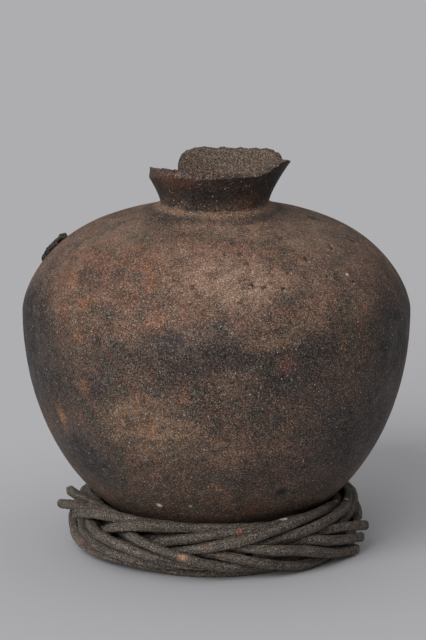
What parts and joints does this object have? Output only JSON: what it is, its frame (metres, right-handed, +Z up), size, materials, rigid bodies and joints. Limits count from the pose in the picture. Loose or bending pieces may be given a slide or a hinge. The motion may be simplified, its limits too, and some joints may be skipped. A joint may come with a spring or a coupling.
{
  "type": "pottery jar",
  "caption": "Round hand-built earthenware jar with a short flared neck and a broken rim, standing in a ring of wound vines that holds its round bottom.",
  "frame": {"origin": "on the ground, under the jar's axis", "axes": "+Z up along the jar's axis, -Y towards the pictured front, +X to the right"},
  "size_m": [0.35, 0.35, 0.3584],
  "materials": {
    "clay": "unglazed low-fired earthenware, burnished in places, with pale grit in the clay",
    "pitch": "hardened dark resin, pitted and dull",
    "vine": "dry, dusty vine with its bark on"
  },
  "bodies": {
    "ring_stand": {"vine_01": "vine", "vine_02": "vine", "vine_03": "vine", "vine_04": "vine", "vine_05": "vine", "vine_06": "vine", "vine_07": "vine", "vine_08": "vine", "vine_09": "vine", "vine_10": "vine", "vine_11": "vine", "vine_12": "vine", "vine_13": "vine", "vine_14": "vine", "vine_15": "vine", "vine_16": "vine", "vine_17": "vine"},
    "jar": {"jar_body": "clay", "shoulder_patch": "pitch"}
  },
  "joints": [
    {"name": "jar_lift", "type": "slide", "parent": "ring_stand", "child": "jar", "axis": [0, 0, 1], "range_m": [0, 0.25]}
  ]
}
